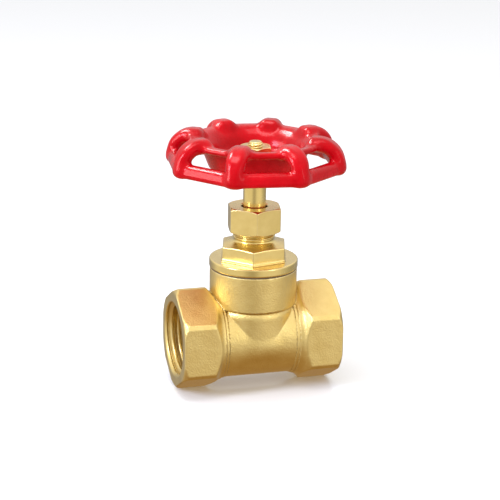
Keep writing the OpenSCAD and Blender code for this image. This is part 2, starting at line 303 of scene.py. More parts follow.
def surface_net(field, low, high, cell):
    """Points and four-sided faces of the surface where a field is zero. The field is negative inside."""
    axes = [grid_axis(a, b, cell) for a, b in zip(low, high)]
    values = sample(field, axes, cell)
    inside = values < 0
    shape = [n - 1 for n in inside.shape]
    corners = [(a, b, c) for a in (0, 1) for b in (0, 1) for c in (0, 1)]
    filled = sum(
        inside[a:a + shape[0], b:b + shape[1], c:c + shape[2]].astype(np.uint8)
        for a, b, c in corners)
    cells = np.nonzero((filled > 0) & (filled < 8))
    number = np.full(shape, -1, np.int32)
    number[cells] = np.arange(len(cells[0]))
    total = np.zeros((len(cells[0]), 3))
    crossings = np.zeros(len(cells[0]))
    for corner in corners:
        for direction in range(3):
            if corner[direction]:
                continue
            start = values[tuple(c + o for c, o in zip(cells, corner))]
            ahead = [o + (d == direction) for d, o in enumerate(corner)]
            end = values[tuple(c + o for c, o in zip(cells, ahead))]
            crosses = (start < 0) != (end < 0)
            share = np.where(crosses, start / np.where(crosses, start - end, 1), 0)
            point = np.tile(np.array(corner, float), (len(share), 1))
            point[:, direction] = share
            total += point * crosses[:, None]
            crossings += crosses
    base = np.stack([axis[c] for axis, c in zip(axes, cells)], 1)
    points = base + cell * total / crossings[:, None]
    return settle(field, points, cell), net_faces(inside, number)


def net_faces(inside, number):
    """One face for each grid edge that crosses the surface, wound so that it faces outwards."""
    faces = []
    for direction in range(3):
        u, v = (direction + 1) % 3, (direction + 2) % 3
        before = [slice(None)] * 3
        after = [slice(None)] * 3
        before[direction], after[direction] = slice(None, -1), slice(1, None)
        start, end = inside[tuple(before)], inside[tuple(after)]
        edges = np.stack(np.nonzero(start != end))
        edges = edges[:, (edges[u] > 0) & (edges[v] > 0)]
        edges = edges[:, (edges[u] < number.shape[u]) & (edges[v] < number.shape[v])]
        ring = []
        for du, dv in ((-1, -1), (0, -1), (0, 0), (-1, 0)):
            cell = edges.copy()
            cell[u] += du
            cell[v] += dv
            ring.append(number[tuple(cell)])
        quad = np.stack(ring, 1)
        outward = start[tuple(edges)]
        faces.append(np.where(outward[:, None], quad, quad[:, ::-1]))
    return np.concatenate(faces)


def mesh_object(name, points, faces):
    """Object from arrays of points in metres and of faces."""
    mesh = bpy.data.meshes.new(name)
    mesh.vertices.add(len(points))
    mesh.vertices.foreach_set("co", points.ravel())
    mesh.loops.add(faces.size)
    mesh.loops.foreach_set("vertex_index", faces.ravel().astype(np.int32))
    mesh.polygons.add(len(faces))
    mesh.polygons.foreach_set("loop_start", np.arange(0, faces.size, faces.shape[1], dtype=np.int32))
    mesh.update(calc_edges=True)
    mesh.validate()
    mesh.polygons.foreach_set("use_smooth", np.ones(len(faces), bool))
    obj = bpy.data.objects.new(name, mesh)
    bpy.context.scene.collection.objects.link(obj)
    return obj


MOST_TRIANGLES = 190000


def thin_out(obj):
    """Merges triangles where the surface is flattest until the mesh has a sensible number of them."""
    triangles = 2 * len(obj.data.polygons)
    if triangles <= MOST_TRIANGLES:
        return
    decimate = obj.modifiers.new("thin_out", "DECIMATE")
    decimate.ratio = MOST_TRIANGLES / triangles
    shape = obj.evaluated_get(bpy.context.evaluated_depsgraph_get())
    thinned = bpy.data.meshes.new_from_object(shape)
    obj.modifiers.clear()
    obj.data = thinned
    thinned.name = obj.name


def vertex_values(mesh, name, values):
    """Stores a number at each point of a mesh, for its material."""
    mesh.attributes.new(name, "FLOAT", "POINT").data.foreach_set("value", np.asarray(values, np.float32))


# Room round a node's box when its surface is looked for
ROOM = 0.3


def piece(node, field, cell, material, body="valve_body", finish=None):
    """Detailed piece that replaces a CAD node: its mesh, normals, material and body.

    finish(x, y, z) gives two numbers at each point: how much of the surface is machined,
    and the distance along the lathe tool's path.
    """
    low, high = BOX[node]
    points, faces = surface_net(field, low - ROOM, high + ROOM, cell)
    obj = mesh_object(node + "_piece", (points + STEM_AXIS) * MM, faces)
    thin_out(obj)
    mesh = obj.data
    placed = np.empty(3 * len(mesh.vertices))
    mesh.vertices.foreach_get("co", placed)
    points = settle(field, placed.reshape(-1, 3) / MM - STEM_AXIS, cell, 2)
    points = np.clip(points, low, high)
    mesh.vertices.foreach_set("co", ((points + STEM_AXIS) * MM).ravel())
    slope = gradient(field, points, 0.45 * cell)
    slope /= np.maximum(np.linalg.norm(slope, axis=1), 1e-6)[:, None]
    mesh.normals_split_custom_set_from_vertices(slope)
    x, y, z = points.T
    machined, feed = finish(x, y, z) if finish else (np.ones(len(x)), z - np.hypot(x, y))
    vertex_values(mesh, "machined", machined * np.ones(len(x)))
    vertex_values(mesh, "feed", feed)
    vertex_values(mesh, "bend", np.clip(curving(field, points, 0.2), -4, 4))
    mesh.update()
    mesh.materials.append(material)
    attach(obj, body)
    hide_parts(node)
    return obj


# ---------------------------------------------------------------- the body

def pipe_end(depth, y, z, r):
    """Hexagon at one end, with its rounded crests, its chamfer and the taper behind it."""
    flats = hexagon(y, z, END_HEX, 0.2)
    crest = larger(flats, r - CREST_R, 0.08)
    chamfer = (r - (CREST_R - 1.1) - depth) / sqrt(2)
    taper = (r - CREST_R + (depth - END_HEX_LONG) / TAPER_RUN) * 0.669
    return larger(larger(larger(crest, chamfer, 0.25), taper, 0.35), -depth, 0.25)


def body_outside(x, y, z):
    """Forged outside: two hexagon ends, stepped barrel, collar, and the wedge pocket's bulge."""
    depth = HALF_RUN - np.abs(x)
    r = np.hypot(y, z)
    across = np.hypot(x, y)
    taper_end = END_HEX_LONG + TAPER_RUN * (CREST_R - STEP_R)
    first_step_run = between(depth, BARREL_START, taper_end + STEP_LONG)
    first_step = larger(r - STEP_R, first_step_run, 0.1)
    second_step_run = between(depth, BARREL_START, taper_end + 2 * STEP_LONG)
    second_step = larger(r - (STEP_R + BARREL_R) / 2, second_step_run, 0.1)
    barrel = larger(r - BARREL_R, np.abs(x) - HALF_RUN + BARREL_START, 0.1)
    run = smaller(smaller(barrel, second_step, 0.05), first_step, 0.05)
    run = smaller(pipe_end(depth, y, z, r), run, 0.9)
    pocket_run = np.maximum(z - COLLAR_LOW - 0.3, (POCKET_FOOT - z) * 0.55)
    pocket = larger(across - FORGED_R, pocket_run, 2.6)
    run = smaller(run, pocket, 0.12 + 1.2 * ramp(-z, -4.0, 0.5))
    collar = larger(across - COLLAR_R, between(z, COLLAR_LOW, COLLAR_TOP), 0.16)
    return smaller(run, collar, 0.1)


def pipe_hole(x, y, z):
    """Waterway: the countersunk and threaded bore of each end, its drilled bottom, and the port."""
    depth = HALF_RUN - np.abs(x)
    r = np.hypot(y, z)
    angle = np.arctan2(z, y) * np.sign(x)
    deep = PIPE_THREAD_DEEP * (1 - ramp(depth, 8.8, 10.4))
    wall = THREAD_R + deep * (1 - thread_crest(angle, depth, PIPE_PITCH))
    thread = np.maximum((r - wall) * 0.68, depth - PIPE_BORE_DEEP)
    mouth = np.maximum((r - PIPE_MOUTH_R + depth) / sqrt(2), depth - 3)
    drilled = (r - THREAD_R + (depth - PIPE_BORE_DEEP) * 2.31) * 0.397
    drilled = np.maximum(drilled, 11.1 - depth)
    return smaller(np.minimum(np.minimum(thread, mouth), drilled), r - PORT_R, 0.15)


def wedge_pocket(x, y, z):
    """Tapered pocket between the seats, with a guide rib at each side, open into the bonnet's bore."""
    slab = (np.abs(x) - WEDGE_HALF - 0.1 - z * WEDGE_SLOPE) * cos(WEDGE_ANGLE)
    disc = np.hypot(y, z) - POCKET_R
    above = np.maximum(np.abs(y) - POCKET_R, -z)
    rib = np.maximum(np.abs(x) - RIB_HALF, POCKET_R - RIB_DEPTH - np.abs(y))
    rib = np.maximum(rib, between(z, -1, 8))
    space = np.maximum(larger(slab, smaller(disc, above, 0.2), 0.2), z - COLLAR_LOW - 3)
    return larger(space, -rib, 0.2)


def bonnet_thread_r(x, y, z, crest_r):
    """Radius of the joint thread between body and bonnet."""
    return crest_r - 0.55 * (1 - thread_crest(np.arctan2(y, x), z, BONNET_PITCH))


def body_field(x, y, z):
    """Forging with its waterway, wedge pocket and threaded bore."""
    across = np.hypot(x, y)
    bore = (across - bonnet_thread_r(x, y, z, BONNET_THREAD_R + 0.1)) * 0.8
    bore = np.maximum(bore, low_z("bonnet") - 0.2 - z)
    mouth = (across - BONNET_THREAD_R - 0.5 - (z - COLLAR_TOP)) / sqrt(2)
    bore = np.minimum(bore, np.maximum(mouth, COLLAR_TOP - 2 - z))
    hollow = np.minimum(np.minimum(pipe_hole(x, y, z), wedge_pocket(x, y, z)), bore)
    return larger(body_outside(x, y, z), -hollow, 0.12)


def body_finish(x, y, z):
    """The end faces and all within reach of the pipe bores are machined; the rest is as forged."""
    depth = HALF_RUN - np.abs(x)
    r = np.hypot(y, z)
    face = 1 - ramp(depth, 0.1, 0.3)
    bore = 1 - ramp(r, PIPE_MOUTH_R, PIPE_MOUTH_R + 0.3)
    return np.maximum(face, bore), depth - r


# ---------------------------------------------------------------- the bonnet

def bonnet_hexagon(x, y, z):
    """Spanner hexagon with its foot on the flange and its top swept up into the neck."""
    r = np.hypot(x, y)
    u, v = turned_by(x, y, BONNET_TURN)
    foot = 0.16 * (1 - ramp(z, 22.95, 23.1))
    flats = hexagon(v, u, BONNET_HEX, 0.25) - foot
    sweep = z - 26.35 - 0.105 * np.maximum(9.9 - r, 0) ** 1.6
    return larger(larger(flats, sweep * 0.8, 0.3), FLANGE_TOP - 1 - z, 0.1)


def bonnet_field(x, y, z):
    """Threaded plug, flange, spanner hexagon and threaded neck, in one hollow piece."""
    r = np.hypot(x, y)
    angle = np.arctan2(y, x)
    screw = (r - bonnet_thread_r(x, y, z, BONNET_THREAD_R)) * 0.8
    lead = (r - BONNET_THREAD_R + 0.7 - (z - low_z("bonnet"))) / sqrt(2)
    undercut = larger(r - BONNET_THREAD_R + 0.7, 18.6 - z, 0.1)
    screw = larger(np.maximum(screw, np.minimum(z - 18.7, 1.0)), lead, 0.15)
    plug = larger(smaller(screw, undercut, 0.1), between(z, low_z("bonnet"), FLANGE_LOW + 1), 0.1)
    flange = larger(r - FLANGE_R, between(z, FLANGE_LOW, FLANGE_TOP), 0.5)
    neck_wall = NECK_R - 0.5 * (1 - thread_crest(angle, z, NECK_PITCH)) * ramp(z, 28.1, 28.5)
    neck = (r - neck_wall) * 0.75
    neck = larger(neck, -(z - 28.05 + (NECK_R - 0.4 - r)) / sqrt(2), 0.1)
    neck = larger(neck, (r - NECK_R + 0.5 + (z - NECK_TOP)) / sqrt(2), 0.1)
    core = np.maximum(r - GROOVE_R, between(z, FLANGE_TOP, NECK_TOP))
    top = larger(smaller(neck, core, 0.15), z - NECK_TOP, 0.1)
    solid = smaller(smaller(plug, flange, 0.1), bonnet_hexagon(x, y, z), 0.35)
    return larger(smaller(solid, top, 0.6), -bonnet_hollow(r, z), 0.1)


def bonnet_hollow(r, z):
    """Wedge chamber, retainer and thrust bores, stem guide and packing box, from below upwards."""
    chamber = np.maximum(r - CHAMBER_R, z - CHAMBER_TOP)
    cone_wall = (r - CHAMBER_R + (z - CHAMBER_TOP) * 0.77) * 0.79
    cone = np.maximum(cone_wall, between(z, 17.5, 22.4))
    retainer = np.maximum(r - RETAINER_R, between(z, RETAINER_FLOOR, top_z("stem_retainer")))
    thrust = np.maximum(r - THRUST_R - 0.2, between(z, 24, GUIDE_FLOOR))
    guide = np.maximum(r - GUIDE_R, between(z, GUIDE_FLOOR - 1, BOX_FLOOR + 0.5))
    packing_box = np.maximum(r - radius("packing_washer") - 0.05, BOX_FLOOR - z)
    hollow = np.minimum(np.minimum(chamber, cone), np.minimum(retainer, thrust))
    return np.minimum(hollow, np.minimum(guide, packing_box))


def bonnet_finish(x, y, z):
    """Everything but the hexagon is turned."""
    r = np.hypot(x, y)
    above_flange = ramp(z, FLANGE_TOP + 0.1, FLANGE_TOP + 0.3)
    below_neck = 1 - ramp(z, 27.2, 27.6)
    return 1 - above_flange * below_neck * ramp(r, 6.5, 7.5), z - r


# ---------------------------------------------------------------- stem and nuts

def stem_thread_r(x, y, z, crest_r):
    """Radius of the left-hand lifting thread that carries the wedge."""
    wave = np.cos(2 * pi * (z / LEAD + np.arctan2(y, x) / (2 * pi)))
    return crest_r - 0.45 * (1 - np.clip(0.5 + 0.9 * wave, 0, 1))


def stem_field(x, y, z):
    """Lifting thread, journal, thrust collar, shank, square and threaded tip, from below upwards."""
    r = np.hypot(x, y)
    low, high = BOX["stem"][0][2], BOX["stem"][1][2]
    thread_end = low_z("stem_retainer") - 0.3
    wall = stem_thread_r(x, y, z, STEM_THREAD_R)
    screw = (r - wall) * 0.75
    screw = larger(screw, (r - STEM_THREAD_R + 0.8 - (z - low)) / sqrt(2), 0.1)
    screw = np.maximum(screw, between(z, low, thread_end))
    journal = np.maximum(r - STEM_R + 0.04, between(z, thread_end - 1, SHANK_LOW))
    thrust = larger(r - THRUST_R, between(z, THRUST_LOW, THRUST_TOP), 0.2)
    shank = larger(r - STEM_R, between(z, SHANK_LOW, HUB_LOW), 0.2)
    u, v = turned_by(x, y, WHEEL_TURN)
    square = larger(np.maximum(np.abs(u), np.abs(v)) - SQUARE_HALF, r - STEM_R + 0.05, 0.2)
    square = larger(square, between(z, HUB_LOW - 0.5, HUB_TOP - 0.3), 0.2)
    tip_wall = TIP_R - 0.35 * (1 - thread_crest(np.arctan2(y, x), z, TIP_PITCH))
    tip = larger((r - tip_wall) * 0.8, (r - TIP_R + 0.55 + (z - high)) / sqrt(2), 0.15)
    tip = larger(tip, between(z, HUB_TOP - 1, high), 0.1)
    stem = smaller(smaller(screw, journal, 0.1), thrust, 0.15)
    return smaller(smaller(smaller(stem, shank, 0.1), square, 0.1), tip, 0.1)


def gland_nut_field(x, y, z):
    """Cap nut that closes the packing box, bored for the neck's thread and for the stem."""
    r = np.hypot(x, y)
    low, high = low_z("gland_nut"), top_z("gland_nut")
    blank = hex_nut(x, y, z, GLAND_HEX, low, high, GLAND_TURN)
    wall = NECK_R + 0.1 - 0.5 * (1 - thread_crest(np.arctan2(y, x), z, NECK_PITCH))
    bore = np.maximum((r - wall) * 0.75, z - top_z("gland"))
    lead = (r - NECK_R - 0.3 + (z - low)) / sqrt(2)
    countersink = (r - STEM_R - 0.75 - (z - high)) / sqrt(2)
    hole = np.minimum(r - STEM_R - 0.46, np.maximum(countersink, high - 1 - z))
    return larger(blank, -np.minimum(np.minimum(bore, np.maximum(lead, z - low - 2)), hole), 0.12)


def wheel_nut_field(x, y, z):
    """Nut on the stem's tip, countersunk at both ends."""
    r = np.hypot(x, y)
    low, high = low_z("wheel_nut"), top_z("wheel_nut")
    blank = hex_nut(x, y, z, WHEEL_NUT_HEX, low, high, WHEEL_NUT_TURN)
    wall = TIP_R + 0.05 - 0.35 * (1 - thread_crest(np.arctan2(y, x), z, TIP_PITCH))
    middle = (low + high) / 2
    lead = (r - TIP_R - 0.35 + (high - middle - np.abs(z - middle))) / sqrt(2)
    return larger(blank, -np.minimum((r - wall) * 0.8, lead), 0.08)


# ---------------------------------------------------------------- the handwheel

def rounded_bar(u, v, middle, half_u, half_v, corner):
    """Section of a bar with rounded corners."""
    du = np.abs(u - middle[0]) - (half_u - corner)
    dv = np.abs(v - middle[1]) - (half_v - corner)
    outside = np.hypot(np.maximum(du, 0), np.maximum(dv, 0))
    return outside + np.minimum(np.maximum(du, dv), 0) - corner


def wheel_posts(out, across, z):
    """Arched posts at the eight corners, wider at the top.

    Each follows a quarter of an ellipse from its foot, and ends in a level hump.
    """
    foot_r, foot_z = WHEEL_R + 0.04 - POST_R, WHEEL_LOW + POST_R
    crown_r, crown_z = HUMP_R - 0.2, WHEEL_TOP - POST_R
    wide, tall = foot_r - crown_r, crown_z - foot_z
    over, up = out - crown_r, z - foot_z
    reach = np.hypot(over, up)
    bowed = reach - reach / np.maximum(np.hypot(over / wide, up / tall), 1e-6)
    upright = np.hypot(over - wide, np.minimum(up + 0.01, 0))
    level = np.hypot(up - tall, np.minimum(over + HUMP_LEVEL, 0))
    from_arch = np.where(up < 0, upright, np.where(over < 0, level, bowed))
    rise = ramp(up, 0, tall)
    beside = np.maximum(np.abs(across) - POST_FLAT_LOW - POST_FLAT_GAIN * rise, 0)
    return np.hypot(from_arch, beside) - POST_R


def handwheel_field(x, y, z):
    """Octagonal base bar, posts, brim, dish and hub in one casting, with a square hole."""
    u, v = turned_by(x, y, WHEEL_TURN)
    r = np.hypot(u, v)
    sector = 2 * SIDE_ANGLE
    from_corner = (np.arctan2(v, u) + SIDE_ANGLE) % sector - SIDE_ANGLE
    from_side = SIDE_ANGLE - np.abs(from_corner)
    side = larger(r * np.cos(from_side), r * np.cos(2 * SIDE_ANGLE - from_side), 1.6)
    posts = wheel_posts(r * np.cos(from_corner), r * np.sin(from_corner), z)
    drafted = side + BAR_DRAFT * (z - WHEEL_LOW)
    bar_middle = (WHEEL_SIDE - BAR_HALF_WIDE, WHEEL_LOW + BAR_HALF_HIGH)
    bar = rounded_bar(drafted, z, bar_middle, BAR_HALF_WIDE, BAR_HALF_HIGH, 1.5)
    brim_middle = (BRIM_R - BRIM_HALF_WIDE, BRIM_TOP - BRIM_HALF_HIGH)
    brim = rounded_bar((r + side) / 2, z, brim_middle, BRIM_HALF_WIDE, BRIM_HALF_HIGH, 0.8)
    dish_out = DISH_OUT_R + 0.403 * (z - DISH_LOW)
    dish = larger((r - dish_out) * 0.93, between(z, DISH_LOW, BRIM_TOP - 0.1), 0.4)
    flare = (r - BRIM_MOUTH_R - 1.5 * (z - BRIM_TOP)) / 1.8
    bowl = larger(smaller(brim, dish, 1.2), -flare, 1.2)
    rim = smaller(smaller(bar, posts, 1.5), bowl, 1.7)
    dish_in = DISH_IN_R + 0.448 * (z - DISH_FLOOR)
    cup = larger((r - dish_in) * 0.91, DISH_FLOOR - z, 1.6)
    rim = larger(rim, -cup, 1.4)
    hub = larger(r - HUB_R, between(z, HUB_LOW, HUB_TOP), 0.6)
    square = np.maximum(np.abs(u), np.abs(v)) - SQUARE_HALF - 0.05
    return larger(smaller(rim, hub, 1.4), -square, 0.1)


# ---------------------------------------------------------------- small turned pieces

def ring_field(node, inner_r, edge=0.08):
    """Plain ring as large as its CAD node."""
    low, high, outer = low_z(node), top_z(node), radius(node)

    def field(x, y, z):
        r = np.hypot(x, y)
        return larger(larger(r - outer, inner_r - r, edge), between(z, low, high), edge)

    return field


def retainer_field(x, y, z):
    """Threaded ring with two spanner slots across its lower face."""
    r = np.hypot(x, y)
    low, high = low_z("stem_retainer"), top_z("stem_retainer")
    wall = RETAINER_R - 0.05 - 0.25 * (1 - thread_crest(np.arctan2(y, x), z, 0.75))
    ring = larger(larger((r - wall) * 0.8, GUIDE_R - r, 0.1), between(z, low, high), 0.15)
    slot_cut = np.maximum(np.abs(x) - 0.45, z - low - 0.45)
    return larger(ring, -slot_cut, 0.05)


def gland_field(x, y, z):
    """Follower sleeve with a head that the gland nut presses on."""
    r = np.hypot(x, y)
    low, high = low_z("gland"), top_z("gland")
    head_low = NECK_TOP + 0.3
    sleeve = np.maximum(r - radius("packing_washer"), between(z, low, head_low + 0.5))
    head = larger(r - radius("gland"), between(z, head_low, high), 0.25)
    return larger(larger(smaller(sleeve, head, 0.15), between(z, low, high), 0.1), GUIDE_R - r, 0.15)


def packing_field(node):
    """Packing ring pressed from braided cord, with a scarf joint across it."""
    low, high, outer = low_z(node), top_z(node), radius(node)

    def field(x, y, z):
        r = np.hypot(x, y)
        angle = np.arctan2(y, x)
        braid = 0.03 * np.cos(36 * angle + 9 * (z - low)) * np.cos(36 * angle - 9 * (z - low))
        ring = larger(larger(r - outer, GUIDE_R - r, 0.25), between(z, low, high), 0.25)
        cut = np.maximum(np.abs(y - 0.8 * (z - low)) - 0.12, -x)
        return larger(ring + np.maximum(braid, 0), -cut, 0.05)

    return field


def wedge_field(x, y, z):
    """Solid wedge with sloping faces, a threaded boss and two guide slots, at its raised place.

    The boss is wider than the wedge at the disc's centre, as it is in CAD, so it stands nearly 0.4 mm proud
    of both faces, in the middle of the port. That is a fault.
    """
    rise = z - (low_z("wedge") + DISC_R)
    slab = (np.abs(x) - WEDGE_HALF - rise * WEDGE_SLOPE) * cos(WEDGE_ANGLE)
    disc = larger(slab, np.hypot(y, rise) - DISC_R, 0.5)
    disc = larger(disc, np.hypot(x, y) - DISC_R - WEDGE_TRIM, 0.3)
    boss = larger(np.hypot(x, y) - BOSS_R, between(rise, 0, BOSS_TOP), 0.4)
    slots = np.maximum(np.abs(x) - RIB_HALF - 0.2, POCKET_R - RIB_DEPTH - 0.2 - np.abs(y))
    solid = larger(smaller(disc, boss, 0.3), -slots, 0.25)
    wall = stem_thread_r(x, y, z, STEM_THREAD_R + 0.1)
    return larger(solid, -(np.hypot(x, y) - wall) * 0.75, 0.1)


# ---------------------------------------------------------------- materials

class Shader:
    """Short way to write a material's node tree."""

    def __init__(self, name):
        self.material = bpy.data.materials.new(name)
        self.material.use_nodes = True
        self.tree = self.material.node_tree
        self.surface = self.tree.nodes["Principled BSDF"]
        self.place = self.add("ShaderNodeTexCoord").outputs["Object"]

    def add(self, kind, values=None, **settings):
        """New node; values fills its inputs, by name or number, with constants or other nodes' outputs."""
        node = self.tree.nodes.new(kind)
        for key, value in settings.items():
            setattr(node, key, value)
        for key, value in (values or {}).items():
            self.fill(node.inputs[key], value)
        return node

    def fill(self, socket, value):
        """Links another node's output to a socket, or sets the socket to a constant."""
        if isinstance(value, bpy.types.NodeSocket):
            self.tree.links.new(value, socket)
        else:
            socket.default_value = value

    def set(self, **values):
        """Inputs of the surface shader, by name with underscores for spaces."""
        for key, value in values.items():
            self.fill(self.surface.inputs[key.replace("_", " ")], value)

    def noise(self, size, detail, rough=0.5):
        """Noise with features of about the given size in millimetres."""
        values = {"Vector": self.place, "Scale": 1 / (size * MM), "Detail": detail, "Roughness": rough}
        return self.add("ShaderNodeTexNoise", values).outputs["Fac"]

    def math(self, operation, *values):
        """Result of a calculation on numbers or outputs."""
        return self.add("ShaderNodeMath", dict(enumerate(values)), operation=operation).outputs[0]

    def scaled(self, value, low, high, start=0.0, end=1.0):
        """value from low..high spread over start..end."""
        ends = {"Value": value, "From Min": low, "From Max": high, "To Min": start, "To Max": end}
        return self.add("ShaderNodeMapRange", ends).outputs["Result"]

    def blend(self, share, first, second):
        """Mix of two colours."""
        node = self.add("ShaderNodeMix", data_type="RGBA")
        self.fill(node.inputs["Factor"], share)
        self.fill(node.inputs[6], first)
        self.fill(node.inputs[7], second)
        return node.outputs[2]

    def attribute(self, name):
        """Number that the mesh stores at each point."""
        return self.add("ShaderNodeAttribute", attribute_name=name).outputs["Fac"]

    def edges(self):
        """1 on outside edges and 0 elsewhere."""
        return self.scaled(self.attribute("bend"), 1.2, 4)

    def corners(self):
        """1 in inside corners and 0 elsewhere."""
        return self.scaled(self.attribute("bend"), -0.8, -4)

    def bump(self, height, depth, under=None):
        """Bump of the given depth in millimetres, on top of another if under is given."""
        values = {"Height": height, "Distance": depth * MM, "Strength": 1.0}
        if under is not None:
            values["Normal"] = under
        return self.add("ShaderNodeBump", values).outputs["Normal"]


# Pale brass for outside edges: partly wear, partly a painted highlight
WORN_AND_HIGHLIT_BRASS = (1.0, 0.87, 0.52, 1)
# Dark brown for inside corners: painted shade
CORNER_SHADE = (0.24, 0.13, 0.04, 1)


def brass(name, colours, rough, grain, grain_deep, marks):
    """Lacquered brass, its edges lightened by wear and by a painted highlight and its inside corners
    darkened by painted shade: grained where it is forged, and lathe-marked elsewhere.

    grain is the size of the grain, and grain_deep and marks are depths, all in millimetres.
    """
    shader = Shader(name)
    light, deep = colours
    machined = shader.attribute("machined")
    blotch = shader.scaled(shader.noise(4.5, 4, 0.6), 0.3, 0.7)
    fine = shader.noise(grain, 2, 0.6)
    tint = shader.blend(blotch, deep, light)
    # Outside edges blended towards pale brass: partly wear, partly a painted highlight
    tint = shader.blend(shader.math("MULTIPLY", shader.edges(), 0.35), tint, WORN_AND_HIGHLIT_BRASS)
    # Inside corners darkened with painted shade, less on machined faces
    painted_shade = shader.math("MULTIPLY", shader.corners(), shader.scaled(machined, 0, 1, 0.5, 0.25))
    tint = shader.blend(painted_shade, tint, CORNER_SHADE)
    along = {"W": shader.math("MULTIPLY", shader.attribute("feed"), 1.6), "Scale": 1.0, "Detail": 1.0}
    rings = shader.add("ShaderNodeTexNoise", along, noise_dimensions="1D").outputs["Fac"]
    grain_dull = shader.math("MULTIPLY", fine, 0.08)
    uneven = shader.math("ADD", grain_dull, shader.math("MULTIPLY", blotch, 0.06))
    smoothed = shader.math("SUBTRACT", rough, shader.math("MULTIPLY", machined, 0.06))
    dull = shader.math("ADD", uneven, smoothed)
    forged = shader.math("SUBTRACT", 1.0, machined)
    dimples = shader.bump(shader.math("MULTIPLY", fine, forged), grain_deep)
    waves = shader.bump(shader.math("MULTIPLY", shader.noise(2.2, 2), forged), 0.05, dimples)
    lathe = shader.bump(shader.math("MULTIPLY", rings, machined), marks, waves)
    shader.set(Base_Color=tint, Metallic=1.0, Roughness=dull, Normal=lathe)
    shader.set(Coat_Weight=0.45, Coat_Roughness=0.2, Coat_IOR=1.5)
    return shader.material


ENAMEL_LIGHT = (0.49, 0.0006, 0.0050, 1)
ENAMEL_DEEP = (0.38, 0.0003, 0.0030, 1)
ENAMEL_POOLED = (0.25, 0.0, 0.002, 1)


def enamel():
    """Thick dipped gloss paint: deep red, slightly wavy, darker where it pools."""
    shader = Shader("red_enamel")
    pool = shader.scaled(shader.noise(6, 3), 0.35, 0.65)
    tint = shader.blend(pool, ENAMEL_DEEP, ENAMEL_LIGHT)
    tint = shader.blend(shader.math("MULTIPLY", shader.corners(), 0.6), tint, ENAMEL_POOLED)
    peel = shader.bump(shader.noise(1.1, 2, 0.4), 0.004)
    sag = shader.bump(shader.noise(5.0, 2, 0.4), 0.12, peel)
    dull = shader.scaled(shader.noise(3, 3), 0.3, 0.7, 0.22, 0.34)
    shader.set(Base_Color=tint, Roughness=dull, Normal=sag, IOR=1.5, Specular_IOR_Level=0.25)
    shader.set(Specular_Tint=(1.0, 0.06, 0.08, 1), Coat_Weight=0.5, Coat_Roughness=0.13, Coat_IOR=1.25)
    return shader.material


def soft_disc(name, light, dark, rough, grain, deep):
    """Matt seal material, speckled at the size of its fibres."""
    shader = Shader(name)
    speckle = shader.scaled(shader.noise(grain, 5, 0.7), 0.3, 0.7)
    shader.set(Base_Color=shader.blend(speckle, dark, light), Roughness=rough)
    shader.set(Normal=shader.bump(speckle, deep))
    return shader.material


def zinc_steel():
    """Bright zinc plate with faint spangle."""
    shader = Shader("zinc_steel")
    crystals = {"Vector": shader.place, "Scale": 1 / (0.8 * MM)}
    spangle = shader.add("ShaderNodeTexVoronoi", crystals).outputs["Distance"]
    tint = shader.blend(spangle, (0.56, 0.57, 0.58, 1), (0.75, 0.76, 0.78, 1))
    shader.set(Base_Color=tint, Metallic=1.0, Roughness=shader.scaled(spangle, 0, 1, 0.25, 0.4))
    shader.set(Normal=shader.bump(shader.noise(0.3, 3), 0.01))
    return shader.material


# Light and deep colour of each brass
CAST_COLOURS = (0.77, 0.585, 0.215, 1), (0.70, 0.505, 0.165, 1)
TURNED_COLOURS = (0.80, 0.605, 0.215, 1), (0.73, 0.53, 0.165, 1)
NUT_COLOURS = (0.82, 0.62, 0.225, 1), (0.74, 0.54, 0.17, 1)

cast_brass = brass("cast_brass", CAST_COLOURS, 0.34, 0.42, 0.10, 0.002)
turned_brass = brass("turned_brass", TURNED_COLOURS, 0.24, 0.25, 0.012, 0.0012)
nut_brass = brass("nut_brass", NUT_COLOURS, 0.24, 0.25, 0.02, 0.0012)
red_enamel = enamel()
fibre = soft_disc("fibre_gasket", (0.17, 0.11, 0.06, 1), (0.08, 0.05, 0.028, 1), 0.85, 0.3, 0.03)
ptfe = soft_disc("ptfe", (0.86, 0.86, 0.83, 1), (0.76, 0.76, 0.73, 1), 0.42, 0.8, 0.005)
graphite = soft_disc("graphite_packing", (0.09, 0.09, 0.10, 1), (0.02, 0.02, 0.025, 1), 0.55, 0.25, 0.04)
steel = zinc_steel()


# ---------------------------------------------------------------- the pieces

TURNING = "stem_and_wheel"


def nut_finish(start, end):
    """Finish of a nut whose faces are turned out to a radius, beyond which it is as forged."""

    def finish(x, y, z):
        r = np.hypot(x, y)
        return 1 - ramp(r, start, end), z - r

    return finish


def wedge_finish(x, y, z):
    """The two sloping faces are machined."""
    return ramp(np.abs(x), 3.6, 3.9), y


piece("body", body_field, 0.33, cast_brass, finish=body_finish)
piece("bonnet", bonnet_field, 0.2, turned_brass, finish=bonnet_finish)
piece("bonnet_gasket", ring_field("bonnet_gasket", BONNET_THREAD_R + 0.1), 0.13, fibre)
piece("stem", stem_field, 0.12, turned_brass, TURNING)
piece("stem_retainer", retainer_field, 0.1, turned_brass)
for washer in ("lower_thrust_washer", "upper_thrust_washer"):
    piece(washer, ring_field(washer, GUIDE_R), 0.1, ptfe)
piece("packing_washer", ring_field("packing_washer", GUIDE_R), 0.1, turned_brass)
for ring in ("packing_ring_lower", "packing_ring_middle", "packing_ring_upper"):
    piece(ring, packing_field(ring), 0.09, graphite)
piece("gland", gland_field, 0.11, turned_brass)
piece("gland_nut", gland_nut_field, 0.12, nut_brass, finish=nut_finish(6.6, 6.9))
piece("wedge", wedge_field, 0.17, turned_brass, "wedge", wedge_finish)
handwheel = piece("handwheel", handwheel_field, 0.27, red_enamel, TURNING)
piece("wheel_washer", ring_field("wheel_washer", TIP_R + 0.05, 0.12), 0.09, steel, TURNING)
piece("wheel_nut", wheel_nut_field, 0.08, nut_brass, TURNING, nut_finish(3.8, 4.0))


# ---------------------------------------------------------------- studio and camera

